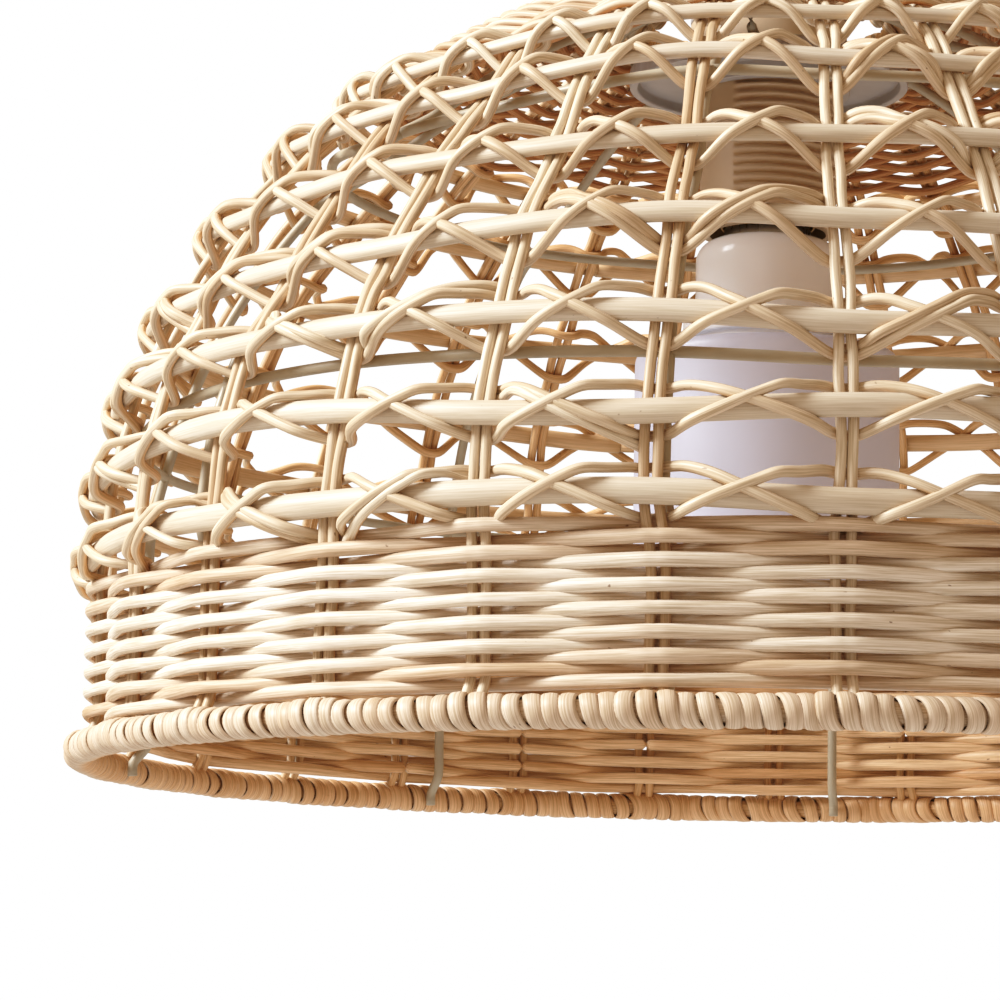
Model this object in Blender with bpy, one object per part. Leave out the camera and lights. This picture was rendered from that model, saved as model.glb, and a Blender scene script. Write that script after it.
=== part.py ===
"""Pendant lamp: an open-weave rattan dome on a wire frame, with a screw lampholder and an LED bulb.

Metres, +Z up. The origin is the cord entry on top of the lampholder, on the lamp's axis, so the
lamp hangs from it. Heights in the functions below are measured from the plane through the middle
of the shade's rim, and the empty rim_plane carries everything down to its place.
"""
import math

import bmesh
import bpy
from mathutils import Vector

# ---- driving dimensions -------------------------------------------------------------------------
DROP = 0.2555               # cord entry down to the rim plane
GAP = 0.0003                # clearance between pieces that touch

RIM_RADIUS = 0.200          # outside of the wrapped rim
RIM_TUBE = 0.0045           # half thickness of the wrapped rim
CORE_TUBE = 0.0030          # half thickness of the cane inside it
RIM_SLOT_DIRECTION = math.radians(120)   # where the ribs enter the rim, up and inwards

DOME_RADIUS = 0.1975        # outer surface of the hoops: a half ellipse on a short straight wall
DOME_BASE = 0.048           # height where the ellipse starts
DOME_RISE = 0.187           # height of the ellipse
HOOP_HEIGHTS = (0.051, 0.072, 0.097, 0.124, 0.151, 0.176, 0.194)
HOOP_TUBE = 0.0034
WIDE_HOOP = 0.150           # hoops wider than this have a corner between the ribs as well
CROWN_RADII = (0.097, 0.070, 0.048)    # further stations of the dome, above the last hoop

RIB_COUNT = 27
RIB_PHASE = math.radians(-90 + 5.6)
RIB_HALF_WIDTH = 0.0029     # a pair of canes lying side by side
RIB_HALF_THICK = 0.00135
RIB_DEPTH = 2 * HOOP_TUBE + GAP + RIB_HALF_THICK     # dome surface in to the ribs' middle

BAND_RIB_RADIUS = 0.1912
BAND_BOTTOM = 0.0075
BAND_TOP = 0.0440
WEAVE_SKIN = 0.0030         # strands in front of and behind the ribs
CHANNEL_PLAY = 0.0005       # room round a rib inside the woven bands
CROWN_BAND_RADII = (0.112, 0.049)

CROWN_RING_RADIUS = 0.0400
CROWN_RING_HEIGHT = 0.2182
CROWN_RING_TUBE = 0.0026

WIRE_TUBE = 0.0015
WIRE_UPRIGHTS = 8
WIRE_PHASE = math.radians(-90 - 6.5)
BAND_SAG = 0.0010           # the bands' inner faces run straight from rib to rib
WIRE_BAND_RADIUS = BAND_RIB_RADIUS - RIB_HALF_THICK - CHANNEL_PLAY - WEAVE_SKIN - BAND_SAG - WIRE_TUBE
WIRE_FOOT_RADIUS = 0.1888
WIRE_DEPTH = RIB_DEPTH + RIB_HALF_THICK + GAP + WIRE_TUBE
WIRE_CROWN_DEPTH = 0.0158   # deeper under the crown weave
PLATE_RADIUS = 0.030
PLATE_HEIGHT = 0.2085
PLATE_HALF_THICK = 0.0009

HOLDER_RADIUS = 0.0200
HOLDER_BOTTOM = 0.1565
HOLDER_SHOULDER = 0.2097
HOLDER_TOP = 0.2195
CAP_TOP = 0.2435
CARRIER_BOTTOM = 0.1865     # the insert that holds the screw shell and the contacts
CARRIER_TOP = 0.1985
TERMINAL_OFFSET = 0.009
SHADE_RING_RADIUS = 0.041
SHADE_RING_BOTTOM = 0.2005
SHADE_RING_TOP = 0.2060

BULB_SEAT = 0.1545          # top of the bulb's neck, just under the lampholder
SCREW_CAP_RADIUS = 0.0129
NECK_RADIUS = 0.0210
NECK_BOTTOM = 0.131
COLLAR_RADIUS = 0.0245
DIFFUSER_RADIUS = 0.0385
DIFFUSER_TOP = 0.121
DIFFUSER_BOTTOM = 0.040

FINE = 28                   # sides of the wide turned pieces
COARSE = 20                 # sides of the narrow ones
SMALL = 12                  # sides of screws and pins

# ---- materials ----------------------------------------------------------------------------------
COLOURS = {
    "cane_pale": ((0.83, 0.72, 0.54), 0.55, 0.0),
    "cane": ((0.72, 0.56, 0.38), 0.6, 0.0),
    "cane_warm": ((0.60, 0.38, 0.21), 0.65, 0.0),
    "wire_paint": ((0.50, 0.43, 0.31), 0.45, 0.0),
    "holder_plastic": ((0.62, 0.57, 0.52), 0.4, 0.0),
    "dark_plastic": ((0.04, 0.04, 0.045), 0.4, 0.0),
    "ceramic": ((0.85, 0.83, 0.78), 0.35, 0.0),
    "brass": ((0.70, 0.52, 0.25), 0.3, 1.0),
    "nickel": ((0.66, 0.65, 0.62), 0.25, 1.0),
    "bulb_plastic": ((0.78, 0.74, 0.70), 0.35, 0.0),
    "diffuser": ((0.80, 0.77, 0.84), 0.5, 0.0),
    "circuit_board": ((0.10, 0.28, 0.14), 0.5, 0.0),
    "aluminium": ((0.75, 0.75, 0.76), 0.35, 1.0),
}


def material(name):
    """The Principled material of that name, made on first use."""
    found = bpy.data.materials.get(name)
    if found:
        return found
    colour, roughness, metallic = COLOURS[name]
    made = bpy.data.materials.new(name)
    made.use_nodes = True
    shader = made.node_tree.nodes["Principled BSDF"]
    shader.inputs["Base Color"].default_value = (*colour, 1.0)
    shader.inputs["Roughness"].default_value = roughness
    shader.inputs["Metallic"].default_value = metallic
    return made


# ---- building blocks ----------------------------------------------------------------------------
def clear_scene():
    for thing in list(bpy.data.objects):
        bpy.data.objects.remove(thing, do_unlink=True)


def empty(name, height, parent=None):
    """An empty on the lamp's axis, which the pieces hang from."""
    made = bpy.data.objects.new(name, None)
    made.location = (0, 0, height)
    made.parent = parent
    bpy.context.collection.objects.link(made)
    return made


def add_object(name, mesh, colour, parent):
    made = bpy.data.objects.new(name, mesh)
    made.parent = parent
    if not mesh.materials:
        mesh.materials.append(material(colour))
    bpy.context.collection.objects.link(made)
    return made


def finish_mesh(name, form, smooth_angle=40):
    """Turn a bmesh into a mesh with its faces pointing out and its round sides smooth."""
    bmesh.ops.recalc_face_normals(form, faces=form.faces)
    mesh = bpy.data.meshes.new(name)
    form.to_mesh(mesh)
    form.free()
    mesh.shade_smooth()
    mesh.set_sharp_from_angle(angle=math.radians(smooth_angle))
    return mesh


def even_turns(count, start=0.0):
    return [start + 2 * math.pi * step / count for step in range(count)]


def turn_outline(form, outline, angles):
    """Turn a closed outline of (radius, height) points about the axis, once round."""
    columns = []
    poles = {}
    for angle in angles:
        column = []
        for index, (radius, height) in enumerate(outline):
            if radius == 0:
                if index not in poles:
                    poles[index] = form.verts.new((0, 0, height))
                column.append(poles[index])
            else:
                place = (radius * math.cos(angle), radius * math.sin(angle), height)
                column.append(form.verts.new(place))
        columns.append(column)
    for here, there in zip(columns, columns[1:] + columns[:1]):
        for index in range(len(outline)):
            after = (index + 1) % len(outline)
            corners = [here[index], there[index], there[after], here[after]]
            corners = list(dict.fromkeys(corners))
            if len(corners) > 2:
                form.faces.new(corners)


def turned(name, outline, angles, colour, parent):
    form = bmesh.new()
    turn_outline(form, outline, angles)
    return add_object(name, finish_mesh(name, form), colour, parent)


def round_section(centre, tube, sides, start=0.0):
    """A round cane's cross-section: a regular polygon whose corners lie on the cane's surface."""
    return [(centre[0] + tube * math.cos(start + 2 * math.pi * side / sides),
             centre[1] + tube * math.sin(start + 2 * math.pi * side / sides))
            for side in range(sides)]


def path_normals(path):
    """Unit normals of a path of (radius, height) points, pointing away from the lamp's inside."""
    normals = []
    for index in range(len(path)):
        before = path[max(index - 1, 0)]
        after = path[min(index + 1, len(path) - 1)]
        along = Vector((after[0] - before[0], after[1] - before[1])).normalized()
        normals.append(Vector((along.y, -along.x)))
    return normals


def sweep_bar(form, path, half_width, half_thick, angle=0.0):
    """A bar of rectangular section along a path in the radial plane at an angle round the axis."""
    outwards = Vector((math.cos(angle), math.sin(angle), 0))
    sideways = Vector((-math.sin(angle), math.cos(angle), 0))
    rings = []
    for (radius, height), normal in zip(path, path_normals(path)):
        middle = outwards * radius + Vector((0, 0, height))
        thick = (outwards * normal.x + Vector((0, 0, normal.y))) * half_thick
        wide = sideways * half_width
        corners = (middle - wide - thick, middle + wide - thick,
                   middle + wide + thick, middle - wide + thick)
        rings.append([form.verts.new(corner) for corner in corners])
    join_rings(form, rings)


def sweep_wire(form, path, tube, sides, angle):
    """A round wire along a path in the radial plane at an angle round the axis."""
    outwards = Vector((math.cos(angle), math.sin(angle), 0))
    sideways = Vector((-math.sin(angle), math.cos(angle), 0))
    rings = []
    for (radius, height), normal in zip(path, path_normals(path)):
        middle = outwards * radius + Vector((0, 0, height))
        thick = outwards * normal.x + Vector((0, 0, normal.y))
        ring = []
        for side in range(sides):
            turn = 2 * math.pi * side / sides
            offset = thick * math.cos(turn) + sideways * math.sin(turn)
            ring.append(form.verts.new(middle + offset * tube))
        rings.append(ring)
    join_rings(form, rings)


def join_rings(form, rings):
    for here, there in zip(rings, rings[1:]):
        count = len(here)
        for index in range(count):
            after = (index + 1) % count
            form.faces.new((here[index], here[after], there[after], there[index]))
    form.faces.new(rings[0][::-1])
    form.faces.new(rings[-1])


def hidden_tool(tool):
    """A shape that only a Boolean uses."""
    tool.hide_render = True
    tool.display_type = "WIRE"


def combine(base, tool, operation):
    hidden_tool(tool)
    step = base.modifiers.new(operation.lower(), "BOOLEAN")
    step.operation = operation
    step.object = tool
    step.solver = "EXACT"


# ---- the dome's shape ---------------------------------------------------------------------------
def dome_height(radius):
    return DOME_BASE + DOME_RISE * math.sqrt(1 - (radius / DOME_RADIUS) ** 2)


def dome_radius(height):
    return DOME_RADIUS * math.sqrt(1 - ((height - DOME_BASE) / DOME_RISE) ** 2)


def inside_dome(radius, height, depth):
    """A point that lies a depth inside the dome's surface, square to it."""
    normal = Vector((radius / DOME_RADIUS ** 2, (height - DOME_BASE) / DOME_RISE ** 2)).normalized()
    return radius - normal.x * depth, height - normal.y * depth


def dome_stations():
    """The places where the ribs, the hoops and the wires line up, from the wall to the crown."""
    stations = [(dome_radius(height), height) for height in HOOP_HEIGHTS]
    stations += [(radius, dome_height(radius)) for radius in CROWN_RADII]
    return stations


def rib_angles():
    return even_turns(RIB_COUNT, RIB_PHASE)


def weave_angles():
    """Two steps to each rib: one at the rib and one half way to the next."""
    return even_turns(2 * RIB_COUNT, RIB_PHASE)


def rim_centre():
    return RIM_RADIUS - RIM_TUBE


def from_rim(distance):
    """A point at a distance from the rim's middle, in the direction that the ribs enter it."""
    return (rim_centre() + distance * math.cos(RIM_SLOT_DIRECTION),
            distance * math.sin(RIM_SLOT_DIRECTION))


# ---- the shade ----------------------------------------------------------------------------------
def rib_path():
    """From the rim's core, up inside the band and the hoops, and over the crown ring."""
    bend_start = 0.0445
    bend_middle = (BAND_RIB_RADIUS - 0.0011, 0.0475)
    path = [from_rim(CORE_TUBE + 2 * GAP), (BAND_RIB_RADIUS, BAND_BOTTOM),
            (BAND_RIB_RADIUS, bend_start), bend_middle]
    path += [inside_dome(radius, height, RIB_DEPTH) for radius, height in dome_stations()]
    hook = CROWN_RING_TUBE + GAP + RIB_HALF_THICK + GAP
    for degrees in (80, 125, 165, 205):
        turn = math.radians(degrees)
        path.append((CROWN_RING_RADIUS + hook * math.cos(turn),
                     CROWN_RING_HEIGHT + hook * math.sin(turn)))
    return path


def make_ribs(parent):
    form = bmesh.new()
    sweep_bar(form, rib_path(), RIB_HALF_WIDTH, RIB_HALF_THICK)
    mesh = finish_mesh("rib", form)
    for number, angle in enumerate(rib_angles(), start=1):
        rib = add_object(f"rib_{number:02d}", mesh, "cane", parent)
        rib.rotation_euler.z = angle


def make_hoops(parent):
    for number, height in enumerate(HOOP_HEIGHTS, start=1):
        middle = inside_dome(dome_radius(height), height, HOOP_TUBE)
        section = round_section(middle, HOOP_TUBE, sides=4)
        angles = weave_angles() if middle[0] > WIDE_HOOP else rib_angles()
        turned(f"hoop_{number}", section, angles, "cane_pale", parent)


def woven_band(name, path, colour, parent):
    """A band of weave along a path, with a channel through it for each rib.

    Each level of the path has four radii: the inner face, the two sides of the ribs' channel, and
    the outer face. Round the axis, a sector beside a rib alternates with a sector that the rib
    passes through, where only the front and the back of the weave are there.
    """
    channel = RIB_HALF_THICK + CHANNEL_PLAY
    depths = (-channel - WEAVE_SKIN, -channel, channel, channel + WEAVE_SKIN)
    form = bmesh.new()
    grid = []
    for (radius, height), normal in zip(path, path_normals(path)):
        side_angle = math.asin((RIB_HALF_WIDTH + CHANNEL_PLAY) / radius)
        level = []
        for angle in rib_angles():
            for edge in (angle - side_angle, angle + side_angle):
                column = []
                for depth in depths:
                    reach = radius + normal.x * depth
                    place = (reach * math.cos(edge), reach * math.sin(edge), height + normal.y * depth)
                    column.append(form.verts.new(place))
                level.append(column)
        grid.append(level)
    count = 2 * RIB_COUNT
    for index in range(count):
        after = (index + 1) % count
        at_rib = index % 2 == 0
        walls = (0, 1, 2, 3) if at_rib else (0, 3)
        layers = ((0, 1), (2, 3)) if at_rib else ((0, 1), (1, 2), (2, 3))
        for low, high in zip(grid, grid[1:]):
            for wall in walls:
                form.faces.new((low[index][wall], low[after][wall],
                                high[after][wall], high[index][wall]))
            form.faces.new((low[index][1], low[index][2], high[index][2], high[index][1]))
        for level in (grid[0], grid[-1]):
            for inner, outer in layers:
                form.faces.new((level[index][inner], level[index][outer],
                                level[after][outer], level[after][inner]))
    return add_object(name, finish_mesh(name, form), colour, parent)


def make_woven_bands(parent):
    woven_band("band_weave", [(BAND_RIB_RADIUS, BAND_BOTTOM), (BAND_RIB_RADIUS, BAND_TOP)],
               "cane", parent)
    path = rib_path()
    first = path.index(inside_dome(CROWN_RADII[0], dome_height(CROWN_RADII[0]), RIB_DEPTH))
    last = first + len(CROWN_RADII) - 2
    lower = point_at_radius(path[first - 1], path[first], CROWN_BAND_RADII[0])
    upper = point_at_radius(path[last], path[last + 1], CROWN_BAND_RADII[1])
    woven_band("crown_weave", [lower, *path[first:last + 1], upper], "cane_warm", parent)


def point_at_radius(start, end, radius):
    share = (radius - start[0]) / (end[0] - start[0])
    return radius, start[1] + share * (end[1] - start[1])


def make_rim(parent):
    """The rim's cane core, and its wrapping with a slot where the ribs come in."""
    middle = (rim_centre(), 0)
    core = round_section(middle, CORE_TUBE, sides=4, start=RIM_SLOT_DIRECTION)
    turned("rim_core", core, weave_angles(), "cane", parent)
    outer_slot = math.radians(30)
    inner_slot = math.radians(38)
    steps = 4
    wrapping = []
    for step in range(steps + 1):
        turn = RIM_SLOT_DIRECTION + outer_slot + (2 * math.pi - 2 * outer_slot) * step / steps
        wrapping.append((middle[0] + RIM_TUBE * math.cos(turn), RIM_TUBE * math.sin(turn)))
    inner_tube = CORE_TUBE + GAP
    for step in range(steps + 1):
        turn = RIM_SLOT_DIRECTION - inner_slot - (2 * math.pi - 2 * inner_slot) * step / steps
        reach = inner_tube / math.cos((math.pi - inner_slot) / steps)
        wrapping.append((middle[0] + reach * math.cos(turn), reach * math.sin(turn)))
    turned("rim_binding", wrapping, weave_angles(), "cane", parent)


def make_crown_ring(parent):
    section = round_section((CROWN_RING_RADIUS, CROWN_RING_HEIGHT), CROWN_RING_TUBE, sides=6)
    turned("crown_ring", section, rib_angles(), "cane", parent)


# ---- the wire frame -----------------------------------------------------------------------------
def wire_path():
    """From the foot against the rim, up inside the ribs, to the ring under the crown."""
    path = [(WIRE_FOOT_RADIUS, -0.0025), (WIRE_FOOT_RADIUS, 0.0005), (WIRE_BAND_RADIUS, 0.0055),
            (WIRE_BAND_RADIUS, BAND_TOP + 0.001)]
    hoops = len(HOOP_HEIGHTS)
    for number, (radius, height) in enumerate(dome_stations(), start=1):
        depth = WIRE_DEPTH if number < hoops else WIRE_CROWN_DEPTH
        path.append(inside_dome(radius, height, depth))
    return path


def make_wire_frame(parent):
    """Uprights, three rings and the fitter plate, welded into one piece."""
    path = wire_path()
    spoke_inner = (PLATE_RADIUS - 0.003, PLATE_HEIGHT)
    sides = 4
    uprights = bmesh.new()
    for number, angle in enumerate(even_turns(WIRE_UPRIGHTS, WIRE_PHASE)):
        spoke = [spoke_inner] if number % 2 == 0 else []
        sweep_wire(uprights, path + spoke, WIRE_TUBE, sides, angle)
    uprights_tool = add_object("wire_uprights", finish_mesh("wire_uprights", uprights),
                               "wire_paint", parent)
    rings = bmesh.new()
    first_dome_point = len(path) - len(dome_stations())
    middle_ring = blend(path[first_dome_point + 1], path[first_dome_point + 2], 0.75)
    upper_ring = blend(path[first_dome_point + 5], path[first_dome_point + 6], 0.15)
    for centre in (middle_ring, upper_ring, path[-1]):
        section = round_section(centre, WIRE_TUBE, sides)
        turn_outline(rings, section, even_turns(32, WIRE_PHASE))
    rings_tool = add_object("wire_rings", finish_mesh("wire_rings", rings), "wire_paint", parent)
    bore = HOLDER_RADIUS + 2 * GAP
    low = PLATE_HEIGHT - PLATE_HALF_THICK
    high = PLATE_HEIGHT + PLATE_HALF_THICK
    plate = [(bore, low), (PLATE_RADIUS, low), (PLATE_RADIUS, high), (bore, high)]
    frame = turned("wire_frame", plate, even_turns(COARSE), "wire_paint", parent)
    combine(frame, uprights_tool, "UNION")
    combine(frame, rings_tool, "UNION")


def blend(start, end, share):
    return (start[0] + (end[0] - start[0]) * share, start[1] + (end[1] - start[1]) * share)


# ---- the lampholder -----------------------------------------------------------------------------
def make_gland(parent):
    bore = 0.0036
    outline = [(bore, CAP_TOP - 0.004), (0.0050, CAP_TOP - 0.004), (0.0050, CAP_TOP + GAP),
               (0.0085, CAP_TOP + GAP), (0.0078, DROP - 0.003), (0.0062, DROP), (bore, DROP)]
    turned("cord_gland", outline, even_turns(COARSE), "holder_plastic", parent)


def make_holder_shells(parent):
    cap_bore = 0.0053
    wall = 0.0022
    base = HOLDER_TOP + GAP
    cap = [(0.0232, base), (0.0226, base + 0.012), (0.0190, CAP_TOP - 0.005), (0.0125, CAP_TOP),
           (cap_bore, CAP_TOP), (cap_bore, CAP_TOP - wall), (0.0115, CAP_TOP - wall),
           (0.0170, CAP_TOP - 0.0068), (0.0204, base + 0.012), (0.0210, base)]
    turned("holder_cap", cap, even_turns(FINE), "holder_plastic", parent)
    bore = 0.0170
    body = [(HOLDER_RADIUS, HOLDER_BOTTOM), (HOLDER_RADIUS, HOLDER_SHOULDER),
            (0.0232, HOLDER_SHOULDER), (0.0232, HOLDER_TOP), (bore, HOLDER_TOP),
            (bore, HOLDER_BOTTOM)]
    turned("holder_body", body, even_turns(FINE), "holder_plastic", parent)


def make_contacts(parent):
    """The ceramic carrier with the screw shell, the two contacts and their terminal screws."""
    bore = 0.0022
    carrier = turned("contact_carrier",
                     [(bore, CARRIER_BOTTOM), (0.0166, CARRIER_BOTTOM), (0.0166, CARRIER_TOP),
                      (bore, CARRIER_TOP)],
                     even_turns(COARSE), "ceramic", parent)
    inner = SCREW_CAP_RADIUS + 0.0004
    outer = inner + 0.0005
    shell = [(inner, HOLDER_BOTTOM + 0.002), (outer, HOLDER_BOTTOM + 0.002),
             (outer, CARRIER_BOTTOM - GAP), (inner, CARRIER_BOTTOM - GAP)]
    turned("screw_shell", shell, even_turns(COARSE), "brass", parent)
    rivet = bore - GAP
    foot_top = CARRIER_BOTTOM - GAP
    foot = foot_top - 0.0016
    contact = [(0, foot), (0.0040, foot), (0.0040, foot_top), (rivet, foot_top),
               (rivet, CARRIER_TOP + 0.001), (0, CARRIER_TOP + 0.001)]
    turned("centre_contact", contact, even_turns(SMALL), "brass", parent)

    strip = bmesh.new()
    sweep_bar(strip, [(outer + 2 * GAP + 0.0003, 0.1715), (outer + 2 * GAP + 0.0003, foot_top)],
              0.0022, 0.0003)
    add_object("shell_contact", finish_mesh("shell_contact", strip), "brass", parent)

    depth = 0.007
    for number, side in ((1, -1), (2, 1)):
        hole = turned(f"terminal_hole_{number}",
                      [(0, CARRIER_TOP - depth), (0.0018, CARRIER_TOP - depth),
                       (0.0018, CARRIER_TOP + 0.002), (0, CARRIER_TOP + 0.002)],
                      even_turns(SMALL), "brass", parent)
        hole.location.y = side * TERMINAL_OFFSET
        combine(carrier, hole, "DIFFERENCE")
        screw = turned(f"terminal_screw_{number}",
                       [(0, CARRIER_TOP - depth + 2 * GAP), (0.0015, CARRIER_TOP - depth + 2 * GAP),
                        (0.0015, CARRIER_TOP + GAP), (0.0030, CARRIER_TOP + GAP),
                        (0.0030, CARRIER_TOP + 0.0022), (0, CARRIER_TOP + 0.0022)],
                       even_turns(SMALL), "nickel", parent)
        screw.location.y = side * TERMINAL_OFFSET


def make_shade_ring(axis):
    """The threaded ring that clamps the frame's plate, and the washer that travels with it."""
    bore = HOLDER_RADIUS + 0.0004
    lip = SHADE_RING_RADIUS - 0.0025
    disc = SHADE_RING_TOP - 0.0025
    ring = [(bore, SHADE_RING_BOTTOM - 0.002), (0.0240, SHADE_RING_BOTTOM - 0.002), (0.0240, disc),
            (lip, disc), (lip, SHADE_RING_BOTTOM), (SHADE_RING_RADIUS, SHADE_RING_BOTTOM),
            (SHADE_RING_RADIUS, SHADE_RING_TOP - 0.001), (SHADE_RING_RADIUS - 0.001, SHADE_RING_TOP),
            (bore, SHADE_RING_TOP)]
    turned("shade_ring", ring, even_turns(FINE), "holder_plastic", axis)
    low = SHADE_RING_TOP + GAP
    high = PLATE_HEIGHT - PLATE_HALF_THICK - GAP
    washer = [(bore, low), (0.0260, low), (0.0260, high), (bore, high)]
    turned("ring_washer", washer, even_turns(COARSE), "dark_plastic", axis)


# ---- the bulb -----------------------------------------------------------------------------------
def make_bulb_base(axis):
    """Centre contact, insulator and screw cap."""
    tip_top = CARRIER_BOTTOM - GAP - 0.0016 - GAP
    tip_low = tip_top - 0.0020
    tip = [(0, tip_low), (0.0046, tip_low), (0.0046, tip_low + 0.0009), (0.0030, tip_top),
           (0, tip_top)]
    turned("bulb_tip", tip, even_turns(SMALL), "nickel", axis)
    shell_top = 0.1773
    insulator = [(0, shell_top - 0.002), (SCREW_CAP_RADIUS - 0.0010, shell_top - 0.002),
                 (SCREW_CAP_RADIUS - 0.0010, shell_top + GAP), (0.0058, tip_low - GAP),
                 (0, tip_low - GAP)]
    turned("bulb_insulator", insulator, even_turns(COARSE), "dark_plastic", axis)
    wall = 0.0005
    low = BULB_SEAT + GAP
    cap = [(SCREW_CAP_RADIUS - wall, low), (SCREW_CAP_RADIUS, low),
           (SCREW_CAP_RADIUS, shell_top - 0.001), (SCREW_CAP_RADIUS - wall, shell_top)]
    turned("bulb_cap", cap, even_turns(COARSE), "nickel", axis)


def make_bulb_housing(axis):
    """Neck, collar and diffuser, with the driver and the LED board inside them."""
    spigot = SCREW_CAP_RADIUS - 0.0009
    shoulder = 0.005
    wall = 0.0020
    outline = [(NECK_RADIUS, NECK_BOTTOM)]
    for step in range(4):
        turn = math.radians(30 * step)
        outline.append((NECK_RADIUS - shoulder + shoulder * math.cos(turn),
                        BULB_SEAT - shoulder + shoulder * math.sin(turn)))
    outline += [(spigot, BULB_SEAT), (spigot, BULB_SEAT + 0.013), (spigot - 0.0015, BULB_SEAT + 0.013),
                (spigot - 0.0015, BULB_SEAT - wall), (NECK_RADIUS - shoulder, BULB_SEAT - wall),
                (NECK_RADIUS - wall, BULB_SEAT - shoulder), (NECK_RADIUS - wall, NECK_BOTTOM)]
    turned("bulb_neck", outline, even_turns(FINE), "bulb_plastic", axis)

    collar_low = 0.125
    opening = 0.0230
    pin = opening - 2 * GAP
    pin_low = DIFFUSER_TOP - 0.0030
    collar = [(0.0130, pin_low), (pin, pin_low), (pin, collar_low), (COLLAR_RADIUS, collar_low),
              (COLLAR_RADIUS, NECK_BOTTOM - GAP), (0.0130, NECK_BOTTOM - GAP)]
    turned("bulb_collar", collar, even_turns(FINE), "bulb_plastic", axis)

    skin = 0.0012
    outer_bend = 0.004
    inner_bend = outer_bend - skin
    inside = DIFFUSER_RADIUS - skin
    diffuser = [(opening, DIFFUSER_TOP)]
    diffuser += corner(DIFFUSER_RADIUS, DIFFUSER_TOP, outer_bend, 90, 0)
    diffuser += corner(DIFFUSER_RADIUS, DIFFUSER_BOTTOM, outer_bend, 0, -90)
    diffuser += [(0, DIFFUSER_BOTTOM), (0, DIFFUSER_BOTTOM + skin)]
    diffuser += corner(inside, DIFFUSER_BOTTOM + skin, inner_bend, -90, 0)
    diffuser += corner(inside, DIFFUSER_TOP - skin, inner_bend, 0, 90)
    diffuser += [(opening, DIFFUSER_TOP - skin)]
    turned("bulb_diffuser", diffuser, even_turns(COARSE), "diffuser", axis)

    board_top = pin_low - GAP
    board = [(0, board_top - 0.0016), (0.0330, board_top - 0.0016), (0.0330, board_top),
             (0, board_top)]
    turned("led_board", board, even_turns(COARSE), "aluminium", axis)
    driver = bmesh.new()
    sweep_bar(driver, [(0, pin_low + 0.002), (0, BULB_SEAT + 0.009)], 0.0088, 0.0008)
    add_object("driver_board", finish_mesh("driver_board", driver), "circuit_board", axis)


def corner(edge_radius, edge_height, bend, first_degrees, last_degrees):
    """Three points round a rounded edge whose sharp corner is at (edge_radius, edge_height)."""
    rising = first_degrees + last_degrees > 0
    centre = (edge_radius - bend, edge_height - bend if rising else edge_height + bend)
    points = []
    for share in (0, 0.5, 1):
        turn = math.radians(first_degrees + share * (last_degrees - first_degrees))
        points.append((centre[0] + bend * math.cos(turn), centre[1] + bend * math.sin(turn)))
    return points


def build():
    clear_scene()
    hang_point = empty("hang_point", 0)
    rim_plane = empty("rim_plane", -DROP, hang_point)
    bulb_axis = empty("bulb_axis", 0, rim_plane)
    ring_axis = empty("ring_axis", 0, rim_plane)
    make_ribs(rim_plane)
    make_hoops(rim_plane)
    make_woven_bands(rim_plane)
    make_rim(rim_plane)
    make_crown_ring(rim_plane)
    make_wire_frame(rim_plane)
    make_gland(rim_plane)
    make_holder_shells(rim_plane)
    make_contacts(rim_plane)
    make_shade_ring(ring_axis)
    make_bulb_base(bulb_axis)
    make_bulb_housing(bulb_axis)


build()
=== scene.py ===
"""Looks of the woven pendant lamp: every cane of the shade as its own strand, the painted wires, the
lampholder and the bulb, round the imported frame.

Places on the shade are given by three numbers: the way up along its outer surface from the rim
plane, the turn round the axis from the front (-Y) towards +X, and the depth below that surface.
Heights are over the rim plane, and lengths are in metres.
"""
import math

import bmesh
import bpy
import numpy as np
from mathutils import Matrix, Vector


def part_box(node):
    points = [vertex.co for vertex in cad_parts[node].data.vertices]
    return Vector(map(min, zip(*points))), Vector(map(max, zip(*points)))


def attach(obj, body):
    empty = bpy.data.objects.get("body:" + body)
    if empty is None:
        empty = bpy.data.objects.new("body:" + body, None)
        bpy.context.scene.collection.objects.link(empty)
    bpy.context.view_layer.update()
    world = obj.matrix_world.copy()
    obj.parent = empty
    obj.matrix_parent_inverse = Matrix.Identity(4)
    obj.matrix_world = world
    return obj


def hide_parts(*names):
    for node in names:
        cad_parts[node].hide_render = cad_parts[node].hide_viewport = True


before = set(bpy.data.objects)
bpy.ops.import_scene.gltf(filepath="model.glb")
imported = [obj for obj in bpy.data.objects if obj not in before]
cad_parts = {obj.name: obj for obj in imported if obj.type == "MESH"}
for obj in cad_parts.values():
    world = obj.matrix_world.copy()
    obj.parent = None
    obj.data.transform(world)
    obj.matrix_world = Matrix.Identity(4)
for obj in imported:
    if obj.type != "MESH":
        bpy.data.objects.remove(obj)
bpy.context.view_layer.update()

MM = 0.001
FULL_TURN = 2 * math.pi


# ---- places, from the frame
def node_points(node):
    """A CAD node's vertices as an array, in metres."""
    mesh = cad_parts[node].data
    points = np.empty(3 * len(mesh.vertices))
    mesh.vertices.foreach_get("co", points)
    return points.reshape(-1, 3)


def node_turn(node):
    """The middle of a node's turn round the axis, from -Y towards +X."""
    middle = node_points(node).mean(axis=0)
    return math.atan2(middle[0], -middle[1])


def node_heights(node):
    """The heights between which a CAD node lies."""
    low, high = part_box(node)
    return low.z - RIM_Z, high.z - RIM_Z


def smooth_step(value, low, high):
    share = np.clip((np.asarray(value, float) - low) / (high - low), 0, 1)
    return share * share * (3 - 2 * share)


RIM_Z = sum(corner.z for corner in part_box("rim_core")) / 2
RIBS = sorted((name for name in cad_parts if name.startswith("rib_")), key=node_turn)
RIB_TURNS = [node_turn(name) for name in RIBS]
RIB_STEP = FULL_TURN / len(RIBS)
HOOPS = sorted(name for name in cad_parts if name.startswith("hoop_"))

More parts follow.
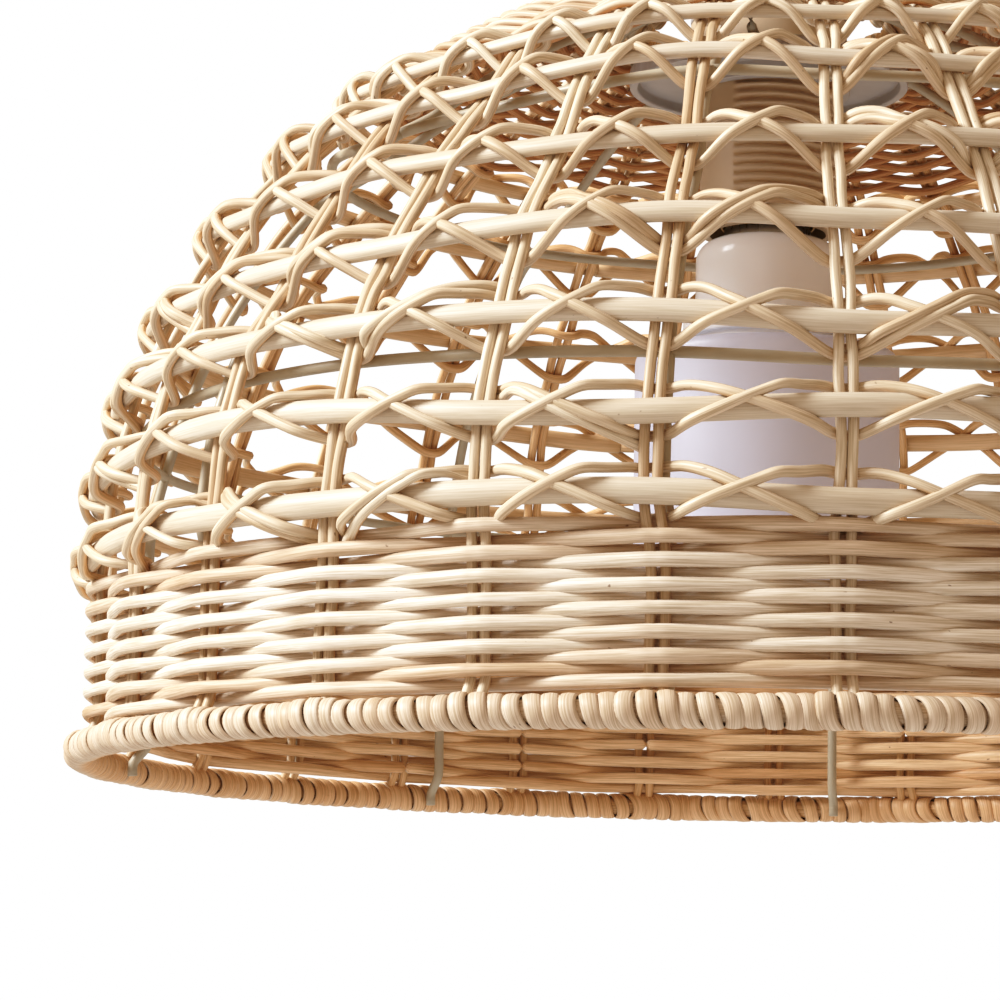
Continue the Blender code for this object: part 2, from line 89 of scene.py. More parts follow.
# The shade's outer surface: a short straight wall with half an ellipse on it, as in the CAD model.
WALL_RADIUS = 0.1975
WALL_TOP = 0.048
DOME_RISE = 0.187

# The canes. Their sizes are radii unless a comment says otherwise.
RIM_CENTRE = 0.1955             # from the lamp's axis to the middle of the rim
RIM_CORE = 2.95 * MM
CROWN_RING = 2.6 * MM
RIB_CANE = 1.38 * MM            # one cane of a rib's pair
RIB_SPREAD = 1.55 * MM          # from the rib's middle to each cane of the pair
RIB_FOOT = 0.0085               # the way at which the ribs leave the rim
LASHING = 1.4 * MM
CROWN_STRAND = 1.35 * MM
CROWN_LOW = 0.1155              # distances from the axis between which the crown is closed
CROWN_HIGH = 0.0490
CROWN_END = 0.050               # distance from the axis where the ribs bend over the crown ring
CROWN_BEND = 0.03               # the length over which they turn down to it
BAND_STRAND = 1.8 * MM          # half the height of a band strand
BAND_FLAT = 0.82                # its thickness over its height
BAND_ROWS = 14
BAND_LOW = 0.0056               # the ways between which the band is woven
BAND_HIGH = 0.0467
HOOP_RADII = [r * MM for r in (3.35, 3.2, 3.05, 2.9, 2.75, 2.6, 2.5)]      # from the rim up
HOOP_FLAT = 0.74                # a hoop's thickness over its height
HOOP_SKIN = 0.2 * MM            # depth of the hoops' outer side
HOOP_MIDDLES = [HOOP_SKIN + HOOP_FLAT * radius for radius in HOOP_RADII]    # their depth
HOOK = CROWN_RING + RIB_CANE + 0.2 * MM     # from the crown ring's middle to a rib's over it

# How far above and below each hoop's middle its lashing passes behind the ribs, and how far past
# the gap's middle a strand stays on the hoop, as a share of the gap.
LASHING_ABOVE = [height * MM for height in (6.8, 7.3, 8.5, 8.2, 9.5, 9.3, 8.0)]
LASHING_BELOW = [height * MM for height in (5.4, 5.4, 6.8, 8.5, 7.2, 7.5, 6.6)]
LASHING_OVERLAP = (0.15, 0.15, 0.14, 0.11, 0.10, 0.09, 0.09)

# Where a lashing is double at the front: by hoop, the rib before the gap (number 13 is the one just
# right of the front), for how many gaps, and whether it starts upwards.
DOUBLED = {2: ((13, 1, True),), 3: ((12, 1, True), (11, 1, False)), 5: ((13, 1, True),)}


# ---- the shade's surface
class Surface:
    """The shade's outer surface. It turns (way, turn, depth) into places."""

    def __init__(self):
        steep = np.linspace(0, math.pi / 2 - 0.02, 800)
        radius = WALL_RADIUS * np.cos(steep)
        height = WALL_TOP + DOME_RISE * np.sin(steep)
        below = np.linspace(-0.012, WALL_TOP, 60)[:-1]
        self.radius = np.concatenate([np.full(below.size, WALL_RADIUS), radius])
        self.height = np.concatenate([below, height])
        step = np.hypot(np.diff(self.radius), np.diff(self.height))
        self.way = np.concatenate([[0], np.cumsum(step)]) + below[0]
        outward = self.radius / WALL_RADIUS ** 2
        upward = np.maximum(self.height - WALL_TOP, 0) / DOME_RISE ** 2
        length = np.hypot(outward, upward)
        self.normal_out = outward / length
        self.normal_up = upward / length

    def way_at_height(self, height):
        return float(np.interp(height, self.height, self.way))

    def way_at_radius(self, radius):
        return float(np.interp(-radius, -self.radius, self.way))

    def radius_at(self, way):
        return np.interp(way, self.way, self.radius)

    def normal(self, way):
        """How far the direction square to the surface goes outwards and upwards."""
        return np.interp(way, self.way, self.normal_out), np.interp(way, self.way, self.normal_up)

    def plane(self, way, depth):
        """The distance from the axis and the height of points at a depth."""
        out, up = self.normal(way)
        return self.radius_at(way) - out * depth, np.interp(way, self.way, self.height) - up * depth

    def place(self, way, turn, depth):
        radius, height = self.plane(way, depth)
        return around(radius, height, turn) + PULL(way, turn)


def direction(out, up, turn):
    """The direction that goes outwards and upwards by those amounts, at a turn."""
    return np.stack(np.broadcast_arrays(out * np.sin(turn), -out * np.cos(turn), up), axis=-1)


def around(radius, height, turn):
    """The place at a distance from the axis, a height and a turn."""
    return direction(radius, height + RIM_Z, turn)


# How far the weaver's hand pulled the crossings of each hoop (a row, from the rim up) sideways and
# upwards from their even places, in mm, at the turns below, in degrees.
PULL_TURNS = (-88.0, -74.0, -61.0, -47.7, -34.4, -21.1, -7.7, 5.6, 19.0, 33.0, 47.0)
PULL_SIDEWAYS = (
    (0.0, -0.4, -1.0, -0.5, -0.4, -0.8, -1.6, 0.4, 0.3, 0.1, 0.0),
    (0.0, 0.4, 0.8, 0.3, 1.4, -1.0, -1.6, 0.5, 0.4, 0.2, 0.0),
    (0.0, 0.7, 1.7, 1.7, 1.9, 1.4, -1.4, 0.6, 0.4, 0.2, 0.0),
    (0.0, 0.6, 1.6, 6.0, 3.0, 2.6, 0.5, 0.2, 0.3, 0.2, 0.0),
    (0.0, 0.0, 0.0, 6.0, 5.2, 5.0, 1.9, 0.4, 0.3, 0.2, 0.0),
    (0.0, -0.6, -1.6, 2.6, 5.4, 3.0, 1.0, 1.7, 0.8, 0.3, 0.0),
    (0.0, -0.8, -2.4, 0.3, 2.6, 0.4, 0.0, 3.6, 1.8, 0.5, 0.0),
)
PULL_UPWARDS = (
    (0.0, 0.8, 1.6, 1.4, 1.8, 2.2, 1.9, -0.7, -0.4, 0.4, 0.0),
    (0.0, 2.2, 5.4, 6.0, 4.6, 1.7, 0.8, 1.8, 1.2, 0.4, 0.0),
    (0.0, 1.2, 3.0, 3.3, 3.5, 2.6, 1.2, -2.3, -1.2, -0.3, 0.0),
    (0.0, -1.6, -3.8, -1.9, -1.8, 1.2, 2.0, -1.3, -0.8, 0.3, 0.0),
    (0.0, -2.0, -5.4, -3.0, -3.0, -2.3, -1.8, -3.1, -1.6, -0.5, 0.0),
    (0.0, -2.2, -6.0, -4.9, -4.6, -2.1, 0.5, -2.0, -1.4, -0.4, 0.0),
    (0.0, -2.4, -6.0, -5.6, -4.3, -2.9, -1.5, -2.8, -1.6, -0.6, 0.0),
)


class Pull:
    """The weaver's pulls as smooth fields over the shade, with faint waves round its back.

    A field has a row for each hoop, and one with no pull at either end, and a column for each degree.
    """

    def __init__(self, hoop_ways, low=0.040, high=0.300):
        self.ways = np.concatenate([[low], hoop_ways, [high]])
        degrees = np.arange(360)
        signed = (degrees + 180) % 360 - 180
        kernel = np.exp(-(np.arange(-12, 13) / 4.0) ** 2)
        kernel /= kernel.sum()
        fields = []
        for number, table in enumerate((PULL_SIDEWAYS, PULL_UPWARDS)):
            rows = [np.zeros(360)]
            for row, values in enumerate(table):
                rng = np.random.default_rng(70 + 20 * number + row)
                line = np.interp(signed, PULL_TURNS, values, left=0.0, right=0.0)
                back = smooth_step(np.abs(signed + 10), 55, 85)
                for wave in (2, 3, 5, 8):
                    size = rng.uniform(0.2, 0.9) / wave ** 0.3
                    line = line + back * size * np.sin(
                        np.radians(wave * degrees) + rng.uniform(0, FULL_TURN))
                wide = np.concatenate([line[-12:], line, line[:12]])
                rows.append(np.convolve(wide, kernel, mode="valid"))
            rows.append(np.zeros(360))
            fields.append(np.array(rows) * MM)
        self.fields = fields

    def look_up(self, field, way, turn):
        degrees = np.degrees(turn) % 360
        first = np.floor(degrees).astype(int) % 360
        share = degrees - np.floor(degrees)
        row = np.interp(way, self.ways, np.arange(len(self.ways)))
        low = np.minimum(np.floor(row).astype(int), len(self.ways) - 2)
        rise = row - low
        rise = rise * rise * (3 - 2 * rise) * 0.5 + rise * 0.5
        after = (first + 1) % 360
        below = field[low, first] * (1 - share) + field[low, after] * share
        above = field[low + 1, first] * (1 - share) + field[low + 1, after] * share
        return below * (1 - rise) + above * rise

    def __call__(self, way, turn):
        way, turn = np.broadcast_arrays(way, turn)
        sideways, upwards = (self.look_up(field, way, turn) for field in self.fields)
        return np.stack([sideways, np.zeros_like(sideways), upwards], axis=-1)


SURFACE = Surface()


def hoop_way(name):
    """The way up at which a hoop of the CAD model lies."""
    ways = np.linspace(0.03, 0.33, 3000)
    _, heights = SURFACE.plane(ways, HOOP_MIDDLES[HOOPS.index(name)])
    return float(np.interp(sum(node_heights(name)) / 2, heights, ways))


HOOP_WAYS = [hoop_way(name) for name in HOOPS]
PULL = Pull(HOOP_WAYS)


def plain_rib_depth(way):
    """Depth of the ribs' middle: shallow inside the band, then behind hoops that get thinner."""
    in_band = 6.2 * MM
    behind_hoops = [HOOP_SKIN + 2 * HOOP_FLAT * radius + RIB_CANE + 0.05 * MM
                    for radius in HOOP_RADII]
    in_dome = np.interp(way, HOOP_WAYS, behind_hoops)
    share = smooth_step(way, BAND_HIGH - 2 * MM, HOOP_WAYS[0] - 0.5 * MM)
    return in_band + (in_dome - in_band) * share


def depth_at_hook():
    """The depth at the crown's end that brings a rib on to its hook over the crown ring."""
    out, up = SURFACE.normal(CROWN_WAY)
    radius, height = SURFACE.plane(CROWN_WAY, 0.0)
    return (radius - RING_RADIUS) * out + (height - RING_HEIGHT) * up - HOOK


RING_LOW, RING_HIGH = node_heights("crown_ring")
RING_HEIGHT = (RING_LOW + RING_HIGH) / 2
RING_RADIUS = (np.hypot(*node_points("crown_ring").T[:2]).max()
               - (RING_HIGH - RING_LOW) / 2 * 1.15)
CROWN_WAY = SURFACE.way_at_radius(CROWN_END)
CROWN_DROP = depth_at_hook() - plain_rib_depth(CROWN_WAY)


def rib_depth(way):
    """Depth of the ribs' middle, bent down to the crown ring at the top."""
    return plain_rib_depth(way) + CROWN_DROP * smooth_step(way, CROWN_WAY - CROWN_BEND, CROWN_WAY)


# ---- noise
def wander(seed, size, along, longest=0.12):
    """Smooth random waves along a strand, the same on each run."""
    rng = np.random.default_rng(seed)
    waves = 5
    steps = FULL_TURN / (longest * rng.uniform(0.25, 1.0, waves))
    starts = rng.uniform(0, FULL_TURN, waves)
    parts = rng.uniform(0.4, 1.0, waves)
    parts /= np.sqrt((parts ** 2).sum() / 2)
    return size * (parts * np.sin(along[..., None] * steps + starts)).sum(axis=-1)


# ---- mesh building
def smooth_path(points, step):
    """A smooth curve through the points (rows of an array), resampled about every step."""
    points = np.asarray(points, float)
    lengths = np.linalg.norm(np.diff(points, axis=0), axis=1)
    knots = np.concatenate([[0], np.cumsum(np.sqrt(np.maximum(lengths, 1e-9)))])
    slopes = np.empty_like(points)
    slopes[1:-1] = (points[2:] - points[:-2]) / (knots[2:] - knots[:-2])[:, None]
    slopes[0] = (points[1] - points[0]) / (knots[1] - knots[0])
    slopes[-1] = (points[-1] - points[-2]) / (knots[-1] - knots[-2])
    out = []
    for index, length in enumerate(lengths):
        count = max(2, int(round(length / step)))
        share = (np.arange(count) / count)[:, None]
        span = knots[index + 1] - knots[index]
        square, cube = share ** 2, share ** 3
        out.append((2 * cube - 3 * square + 1) * points[index]
                   + (cube - 2 * square + share) * span * slopes[index]
                   + (3 * square - 2 * cube) * points[index + 1]
                   + (cube - square) * span * slopes[index + 1])
    out.append(points[-1:])
    return np.concatenate(out)


def unit(vectors):
    return vectors / np.maximum(np.linalg.norm(vectors, axis=-1, keepdims=True), 1e-12)


class Weave:
    """Collects strands and becomes one mesh object.

    Each point carries cane: where it is on the straight cane that the strand was cut from, so that
    the grain follows the strand, and tone: how dark that strand is.
    """

    def __init__(self, name):
        self.name = name
        self.points, self.faces, self.canes, self.tones, self.ends = [], [], [], [], []
        self.count = 0
        self.strands = 0

    def strand(self, path, radius, sides=8, tone=0.5, flat=1.0, facing=None, taper=0.0):
        """A cane along a path. flat under 1 squashes it along facing, the direction of its face."""
        path = np.asarray(path, float)
        count = len(path)
        along = unit(np.gradient(path, axis=0))
        if facing is None:
            facing = (path - path.mean(axis=0) * [0, 0, 1]) * [1, 1, 0.4]
        face = unit(facing - along * (facing * along).sum(axis=1, keepdims=True))
        side = np.cross(along, face)
        steps = np.linalg.norm(np.diff(path, axis=0), axis=1)
        length = np.concatenate([[0], np.cumsum(steps)])
        radius = (radius * np.ones(count))[:, None]
        if taper:
            nearest = np.minimum(length, length[-1] - length)[:, None]
            radius *= 0.35 + 0.65 * smooth_step(nearest, 0, taper)
        turn = FULL_TURN * np.arange(sides) / sides
        across, out = np.cos(turn), np.sin(turn)
        ring = side[:, None] * across[:, None] + face[:, None] * (out * flat)[:, None]
        points = path[:, None] + ring * radius[..., None]
        self.strands += 1
        offset = 0.731 * self.strands + 3.17 * (sum(map(ord, self.name)) % 17)
        cane = np.stack(np.broadcast_arrays(radius * across, radius * out,
                                            length[:, None] + offset), axis=-1)
        first = self.count + (np.arange(count - 1) * sides)[:, None]
        here = first + np.arange(sides)
        there = first + (np.arange(sides) + 1) % sides
        quads = np.stack([here, there, there + sides, here + sides], -1)
        self.faces.append(quads.reshape(-1, 4))
        self.points.append(points.reshape(-1, 3))
        self.canes.append(cane.reshape(-1, 3))
        self.tones.append(np.full(count * sides, tone))
        round_first = np.stack([there[0], here[0]])
        round_last = np.stack([here[-1], there[-1]]) + sides
        self.ends.append((round_first, path[0], offset, tone))
        self.ends.append((round_last, path[-1], offset + length[-1], tone))
        self.count += count * sides

    def build(self, shader, body, slot, *replaced):
        """Closes each end with a fan round a middle point, and makes the object."""
        fans = []
        for index, (around_end, middle, place, tone) in enumerate(self.ends):
            fans.append(np.insert(around_end, 0, self.count + index, axis=0).T)
            self.points.append([middle])
            self.canes.append([(0, 0, place)])
            self.tones.append([tone])
        mesh = mesh_from_arrays(self.name, np.concatenate(self.points), np.concatenate(self.faces),
                                np.concatenate(fans))
        give_attribute(mesh, "cane", "FLOAT_VECTOR", np.concatenate(self.canes))
        give_attribute(mesh, "tone", "FLOAT", np.concatenate(self.tones))
        add_piece(self.name, mesh, shader, body, slot, *replaced)


def mesh_from_arrays(name, points, quads, triangles=()):
    mesh = bpy.data.meshes.new(name)
    mesh.vertices.add(len(points))
    mesh.vertices.foreach_set("co", np.ascontiguousarray(points, np.float32).ravel())
    corners = np.concatenate([quads.ravel(), np.ravel(triangles)]).astype(np.int32)
    mesh.loops.add(len(corners))
    mesh.loops.foreach_set("vertex_index", corners)
    sizes = np.concatenate([np.full(len(quads), 4), np.full(len(triangles), 3)]).astype(np.int32)
    starts = np.concatenate([[0], np.cumsum(sizes)[:-1]]).astype(np.int32)
    mesh.polygons.add(len(sizes))
    mesh.polygons.foreach_set("loop_start", starts)
    mesh.update(calc_edges=True)
    mesh.validate()
    mesh.shade_smooth()
    return mesh


def give_attribute(mesh, name, kind, values):
    made = mesh.attributes.new(name, kind, "POINT")
    key = "vector" if kind == "FLOAT_VECTOR" else "value"
    made.data.foreach_set(key, np.ascontiguousarray(values, np.float32).ravel())


def new_object(name, data):
    made = bpy.data.objects.new(name, data)
    bpy.context.collection.objects.link(made)
    return made


def add_piece(name, mesh, shader, body, slot, *replaced):
    mesh.materials.append(shader)
    piece = new_object(name, mesh)
    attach(piece, body)
    if replaced:
        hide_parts(*replaced)


# ---- turned pieces
def rounded(outline, bend, steps=4):
    """An outline of (radius, height) with its corners rounded, leaving those on the axis sharp."""
    outline = [np.array(point, float) for point in outline]
    result = []
    for index, here in enumerate(outline):
        if here[0] == 0:
            result.append(here)
            continue
        before = outline[index - 1] - here
        after = outline[(index + 1) % len(outline)] - here
        reach = min(bend, np.linalg.norm(before) * 0.45, np.linalg.norm(after) * 0.45)
        start = here + before / np.linalg.norm(before) * reach
        end = here + after / np.linalg.norm(after) * reach
        for share in np.arange(steps + 1) / steps:
            result.append((1 - share) ** 2 * start + 2 * share * (1 - share) * here
                          + share ** 2 * end)
    return result


def lathe(name, outline, shader, body, slot, *replaced, turns=96, shape=None):
    """A closed outline turned about the lamp's axis. shape may move the radius by turn and height."""
    angles = (FULL_TURN * np.arange(turns) / turns)[:, None]
    radius, height = np.array(outline).T
    if shape is not None:
        radius = radius + shape(angles, radius, height)
    points = around(radius, height, angles)
    count = len(outline)
    here = np.arange(turns)[:, None] * count
    there = (np.arange(turns)[:, None] + 1) % turns * count
    index = np.arange(count)
    after = (index + 1) % count
    quads = np.stack([here + index, there + index, there + after, here + after], axis=-1)
    mesh = mesh_from_arrays(name, points.reshape(-1, 3), quads.reshape(-1, 4))
    tidy_turned_mesh(mesh)
    add_piece(name, mesh, shader, body, slot, *replaced)


def tidy_turned_mesh(mesh):
    """Joins the points that lie together on the axis, and turns the faces outwards."""
    form = bmesh.new()
    form.from_mesh(mesh)
    bmesh.ops.remove_doubles(form, verts=form.verts, dist=1e-6)
    bmesh.ops.dissolve_degenerate(form, edges=form.edges, dist=1e-7)
    bmesh.ops.recalc_face_normals(form, faces=form.faces)
    form.to_mesh(mesh)
    form.free()
    mesh.shade_smooth()
    mesh.set_sharp_from_angle(angle=math.radians(38))


# ---- materials
class Nodes:
    """Short ways to build the node tree of a new material or of a world."""

    def __init__(self, owner):
        self.material = bpy.data.materials.new(owner) if isinstance(owner, str) else owner
        self.material.use_nodes = True
        self.tree = self.material.node_tree
        self.shader = self.tree.nodes.get("Principled BSDF")

    def add(self, kind, inputs=(), **settings):
        node = self.tree.nodes.new(kind)
        for key, value in settings.items():
            setattr(node, key, value)
        self.feed(node, inputs)
        return node

    def feed(self, node, inputs):
        """Sets a node's inputs, by name or number, each to an output, a colour or a number."""
        for key, value in dict(inputs).items():
            socket = node.inputs[key]
            if isinstance(value, bpy.types.NodeSocket):
                self.tree.links.new(value, socket)
            elif socket.type == "RGBA":
                socket.default_value = (*value, 1.0)
            else:
                socket.default_value = value

    def place(self):
        return self.add("ShaderNodeTexCoord").outputs["Object"]

    def normal(self):
        return self.add("ShaderNodeNewGeometry").outputs["Normal"]

    def vector(self, operation, *values):
        return self.add("ShaderNodeVectorMath", enumerate(values), operation=operation).outputs

    def maths(self, operation, *values):
        return self.add("ShaderNodeMath", enumerate(values), operation=operation).outputs[0]

    def noise(self, place, scale, detail, rough=0.5):
        """Noise at one scale, or at one for each axis."""
        if isinstance(scale, tuple):
            place, scale = self.vector("MULTIPLY", place, scale)[0], 1.0
        inputs = {"Vector": place, "Scale": scale, "Detail": detail, "Roughness": rough}
        return self.add("ShaderNodeTexNoise", inputs).outputs["Fac"]

    def ramp(self, value, *stops):
        node = self.add("ShaderNodeValToRGB", {"Fac": value})
        elements = node.color_ramp.elements
        while len(elements) < len(stops):
            elements.new(0.5)
        for element, (place, colour) in zip(elements, stops):
            element.position = place
            element.color = (*colour, 1.0)
        return node.outputs["Color"]

    def span(self, value, low, high, out_low=0.0, out_high=1.0):
        inputs = {"Value": value, "From Min": low, "From Max": high,
                  "To Min": out_low, "To Max": out_high}
        return self.add("ShaderNodeMapRange", inputs).outputs["Result"]

    def mix(self, share, first, second, blend="MIX"):
        inputs = {"Factor": share, "A": first, "B": second}
        node = self.add("ShaderNodeMix", inputs, data_type="RGBA", blend_type=blend)
        return node.outputs["Result"]

    def inward_shade_share(self, crown):
        """1 where the surface faces the lamp's axis, 0 where it faces away from it: where painted
        shade falls on the inner side.

        For the crown it is the rim's middle instead of the axis.
        """
        if crown:
            place = self.vector("ADD", self.place(), (0, 0, -RIM_Z))[0]
        else:
            place = self.vector("MULTIPLY", self.place(), (1, 1, 0))[0]
        away = self.vector("NORMALIZE", place)[0]
        return self.span(self.vector("DOT_PRODUCT", away, self.normal())["Value"], 0.15, -0.45)

    def cover(self, colour, rough_by, roughness, rougher, smoother):
        """Gives the shader its colour, and a roughness that falls as rough_by rises."""
        rough = self.span(rough_by, 0.3, 0.7, roughness + rougher, roughness - smoother)
        self.feed(self.shader, {"Base Color": colour, "Roughness": rough})

    def bump(self, height, strength, distance):
        inputs = {"Strength": strength, "Distance": distance, "Height": height}
        self.feed(self.shader, {"Normal": self.add("ShaderNodeBump", inputs).outputs["Normal"]})


INSIDE_SHADE = (1.08, 0.84, 0.60)     # painted shade: the canes' sides that face the axis are made warmer and darker, for the shade inside
SPECKS = (0.17, 0.09, 0.045)
DUST = (0.5, 0.42, 0.33)


def cane_material(name, light, middle, dark, roughness, streaks, inside=INSIDE_SHADE, crown=False):
    """Peeled cane: long fibres, cloudy tone, a darker strand here and there, small dark specks,
    painted inner shade.
    """
    nodes = Nodes(name)
    cane = nodes.add("ShaderNodeAttribute", attribute_name="cane").outputs["Vector"]
    tone = nodes.add("ShaderNodeAttribute", attribute_name="tone").outputs["Fac"]
    fibres = nodes.noise(cane, (2600, 2600, 60), 3.0, 0.6)
    clouds = nodes.noise(cane, (160, 160, 22), 3.0, 0.55)
    broad = nodes.noise(cane, (40, 40, 6), 1.0)
    mixed = nodes.maths("ADD", nodes.maths("MULTIPLY", tone, 0.62),
                        nodes.maths("MULTIPLY", nodes.maths("ADD", clouds, broad), 0.34))
    colour = nodes.ramp(mixed, (0.22, light), (0.52, middle), (0.86, dark))
    lines = nodes.span(fibres, 0.36, 0.62, 1.0 - 0.34 * streaks, 1.0 + 0.10 * streaks)
    parts = [lines, nodes.maths("POWER", lines, 1.25), nodes.maths("POWER", lines, 1.7)]
    shade = nodes.add("ShaderNodeCombineColor", enumerate(parts)).outputs[0]
    colour = nodes.mix(1.0, colour, shade, "MULTIPLY")
    specks = nodes.span(nodes.noise(cane, (420, 420, 260), 2.0, 0.7), 0.735, 0.775, 0.0, 0.75)
    colour = nodes.mix(specks, colour, SPECKS)
    # painted shade: the sides that face inwards are multiplied by the inside colour, warmer and darker
    colour = nodes.mix(nodes.inward_shade_share(crown), colour, nodes.mix(1.0, colour, inside, "MULTIPLY"))
    nodes.cover(colour, fibres, roughness, 0.10, 0.06)
    nodes.bump(fibres, 0.35, 0.12 * MM)
    nodes.feed(nodes.shader, {"IOR": 1.45})
    return nodes.material


def painted_material(name, colour, worn, roughness=0.42):
    """Painted steel wire: even paint with faint clouds and a little orange peel."""
    nodes = Nodes(name)
    clouds = nodes.noise(nodes.place(), 60.0, 4.0)
    peel = nodes.noise(nodes.place(), 1800.0, 2.0)
    nodes.cover(nodes.ramp(clouds, (0.35, worn), (0.65, colour)), clouds, roughness, 0.08, 0.08)
    nodes.bump(peel, 0.12, 0.05 * MM)
    return nodes.material


def plastic_material(name, colour, second, roughness, grain=0.08, dust=0.0):
    """Moulded plastic: a slightly uneven colour, fine moulded grain and, where asked, dust above."""
    nodes = Nodes(name)
    clouds = nodes.noise(nodes.place(), (70, 70, 25), 3.0)
    fine = nodes.noise(nodes.place(), 3500.0, 2.0)
    base = nodes.ramp(clouds, (0.3, second), (0.7, colour))
    if dust:
        upward = nodes.add("ShaderNodeSeparateXYZ", {0: nodes.normal()}).outputs[2]
        base = nodes.mix(nodes.span(upward, 0.2, 1.0, 0.0, dust), base, DUST)
    nodes.cover(base, clouds, roughness, 0.05, 0.04)
    nodes.bump(fine, grain, 0.03 * MM)
    return nodes.material


def metal_material(name, colour, dull, roughness):
    """Pressed or plated metal with fine drawing lines and slightly dull patches."""
    nodes = Nodes(name)
    lines = nodes.noise(nodes.place(), (900, 900, 90), 3.0)
    patches = nodes.noise(nodes.place(), 120.0, 3.0)
    nodes.cover(nodes.ramp(patches, (0.35, dull), (0.65, colour)), lines, roughness, 0.12, 0.05)
    nodes.feed(nodes.shader, {"Metallic": 1.0})
    nodes.bump(lines, 0.1, 0.03 * MM)
    return nodes.material


PALE_CANE = cane_material("pale_cane", (0.72, 0.66, 0.58), (0.66, 0.58, 0.47), (0.53, 0.41, 0.28),
                          0.44, 0.4)
WARM_CANE = cane_material("warm_cane", (0.82, 0.75, 0.65), (0.75, 0.65, 0.51), (0.57, 0.41, 0.26),
                          0.46, 0.7)
BAND_CANE = cane_material("band_cane", (0.83, 0.78, 0.72), (0.77, 0.69, 0.59), (0.60, 0.44, 0.30),
                          0.46, 0.8)
# The crown's last colour is painted shade: warmer and darker on the sides that face the rim's middle.
CROWN_CANE = cane_material("crown_cane", (0.80, 0.72, 0.61), (0.72, 0.60, 0.46), (0.55, 0.39, 0.25),
                           0.50, 0.8, (0.90, 0.58, 0.36), crown=True)
WIRE_PAINT = painted_material("wire_paint", (0.50, 0.44, 0.33), (0.43, 0.37, 0.27))
HOLDER = plastic_material("holder_plastic", (0.50, 0.48, 0.47), (0.45, 0.43, 0.42), 0.40, dust=0.3)
# painted shade: the skirt is the holder's grey plastic made warm brown, for the warm shade deep under
# the crown
SHADED_SKIRT = plastic_material("skirt_plastic_painted_shade", (0.60, 0.47, 0.33), (0.54, 0.41, 0.28), 0.36)
BLACK = plastic_material("dark_plastic", (0.035, 0.034, 0.034), (0.022, 0.021, 0.021), 0.45)
INSERT = plastic_material("insert_plastic", (0.80, 0.77, 0.71), (0.72, 0.69, 0.63), 0.38)
NECK = plastic_material("bulb_plastic", (0.96, 0.97, 0.98), (0.93, 0.94, 0.95), 0.16, grain=0.02)
DIFFUSER = plastic_material("diffuser", (0.70, 0.72, 0.86), (0.67, 0.69, 0.83), 0.38, grain=0.03)
BOARD = plastic_material("circuit_board", (0.05, 0.20, 0.09), (0.03, 0.15, 0.06), 0.40)
BRASS = metal_material("brass", (0.72, 0.52, 0.24), (0.55, 0.38, 0.17), 0.30)
NICKEL = metal_material("nickel", (0.68, 0.67, 0.64), (0.55, 0.54, 0.51), 0.28)
ALUMINIUM = metal_material("aluminium", (0.78, 0.78, 0.79), (0.66, 0.66, 0.67), 0.34)


# ---- the shade's canes
def rib_turn(number):
    """The turn of a rib, counted on through any number of laps."""
    laps, rib = divmod(number, len(RIBS))
    return RIB_TURNS[rib] + FULL_TURN * laps


def make_ribs():
    """Each rib is one cane folded over the crown ring, with its halves side by side."""
    over_band = 0.050               # the way from which the points lie evenly up to the crown
    ways = np.concatenate([np.linspace(RIB_FOOT, BAND_HIGH, 14),
                           np.linspace(over_band, CROWN_WAY, 90)])
    depth = rib_depth(ways)
    radius = SURFACE.radius_at(ways) - 8 * MM
    feet = [(194.9 * MM, 2.0 * MM), (193.2 * MM, 4.6 * MM)]
    foot_spread = 2.0 * MM
    hook_spread = 1.45 * MM
    bends = [math.radians(degrees) for degrees in (80, 110, 140, 170, 200)]
    hook = [(RING_RADIUS + HOOK * math.cos(bend), RING_HEIGHT + HOOK * math.sin(bend))
            for bend in bends]
    fold_radius, fold_height = hook[-1]
    for number, (name, turn) in enumerate(zip(RIBS, RIB_TURNS)):
        rng = np.random.default_rng(100 + number)
        halves = []
        for side in (-1, 1):
            lean = wander(1000 + 2 * number, 0.30 * MM, ways, 0.16)
            own = wander(1001 + 2 * number + side, 0.10 * MM, ways, 0.05)
            spread = RIB_SPREAD + 0.25 * MM * (1 - smooth_step(ways, 0.042, 0.056))
            spread = spread + wander(5000 + number, 0.07 * MM, ways, 0.08)
            push = wander(7000 + 2 * number + side, 0.14 * MM, ways, 0.06)
            sideways = lean + side * spread + own
            halves.append(np.concatenate([
                [around(r, z, turn + side * foot_spread / r) for r, z in feet],
                SURFACE.place(ways, turn + sideways / radius, depth + push),
                [around(r, z, turn + side * hook_spread / r) for r, z in hook]]))
        fold = []
        for share in (0.25, 0.5, 0.75):
            across = -math.cos(math.pi * share) * hook_spread
            drop = math.sin(math.pi * share) * 1.6 * MM
            fold.append(around(fold_radius + 0.5 * drop, fold_height - drop,
                               turn + across / fold_radius))
        path = smooth_path(np.concatenate([halves[0], fold, halves[1][::-1]]), 2.2 * MM)
        weave = Weave(name.replace("rib", "rib_canes"))
        weave.strand(path, RIB_CANE * rng.uniform(0.97, 1.05), 10, rng.uniform(0.25, 0.75))
        weave.build(WARM_CANE, "root", "cane", name)


